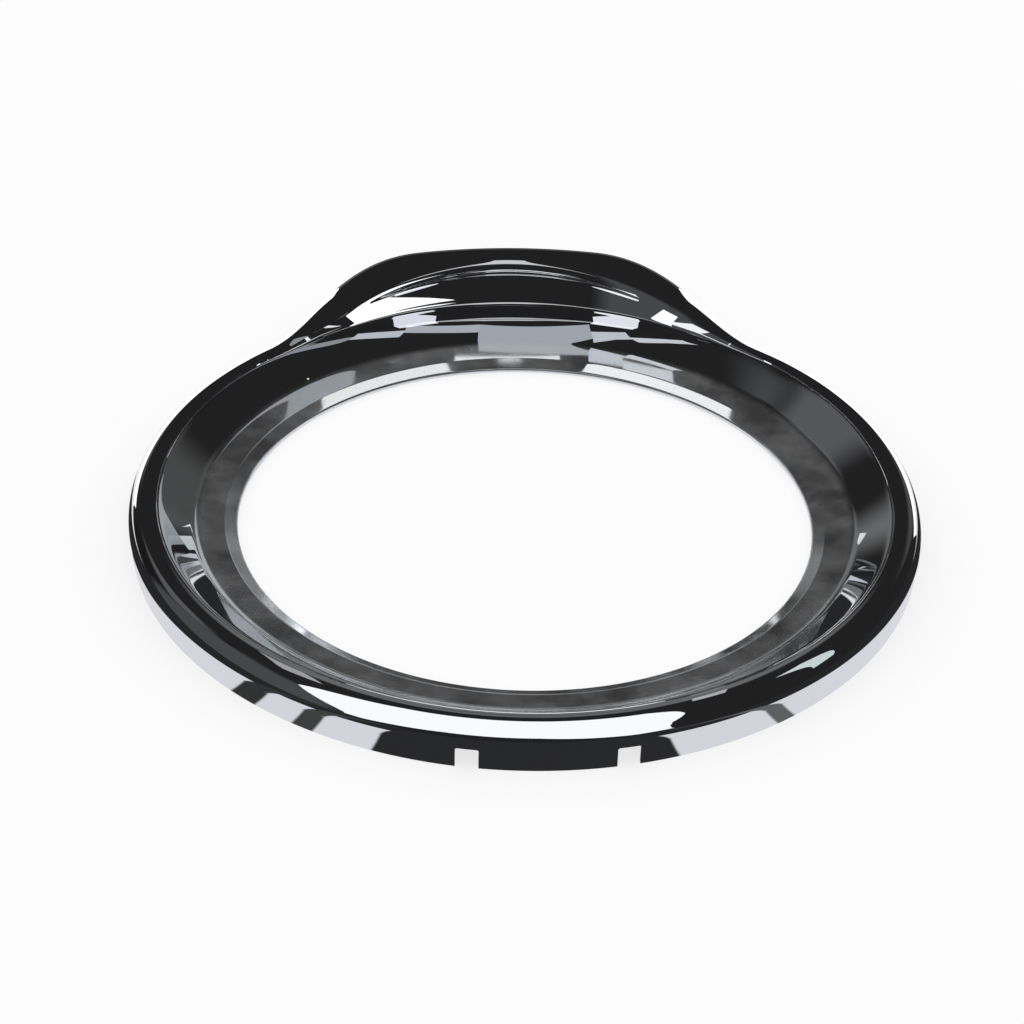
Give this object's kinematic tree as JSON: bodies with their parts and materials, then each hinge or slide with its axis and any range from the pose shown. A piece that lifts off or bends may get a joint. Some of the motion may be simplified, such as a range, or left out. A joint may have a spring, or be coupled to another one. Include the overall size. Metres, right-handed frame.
{
  "type": "washing machine door trim ring",
  "caption": "Bright chrome-plated trim ring for a front-loading washer door, with an arched handle and finger pocket moulded in on one side and hinge notches in the skirt opposite.",
  "frame": {"origin": "on the ring's axis, in the plane of the skirt's lower edge and of the screw bosses' ends", "axes": "+Z out of the face that shows, +Y towards the handle, -Y towards the hinge notches"},
  "size_m": [0.481, 0.5283, 0.0422],
  "materials": {
    "chrome_plating": "mirror-bright decorative chrome plating on moulded ABS"
  },
  "bodies": {
    "root": {"door_trim_ring": "chrome_plating"}
  },
  "joints": []
}
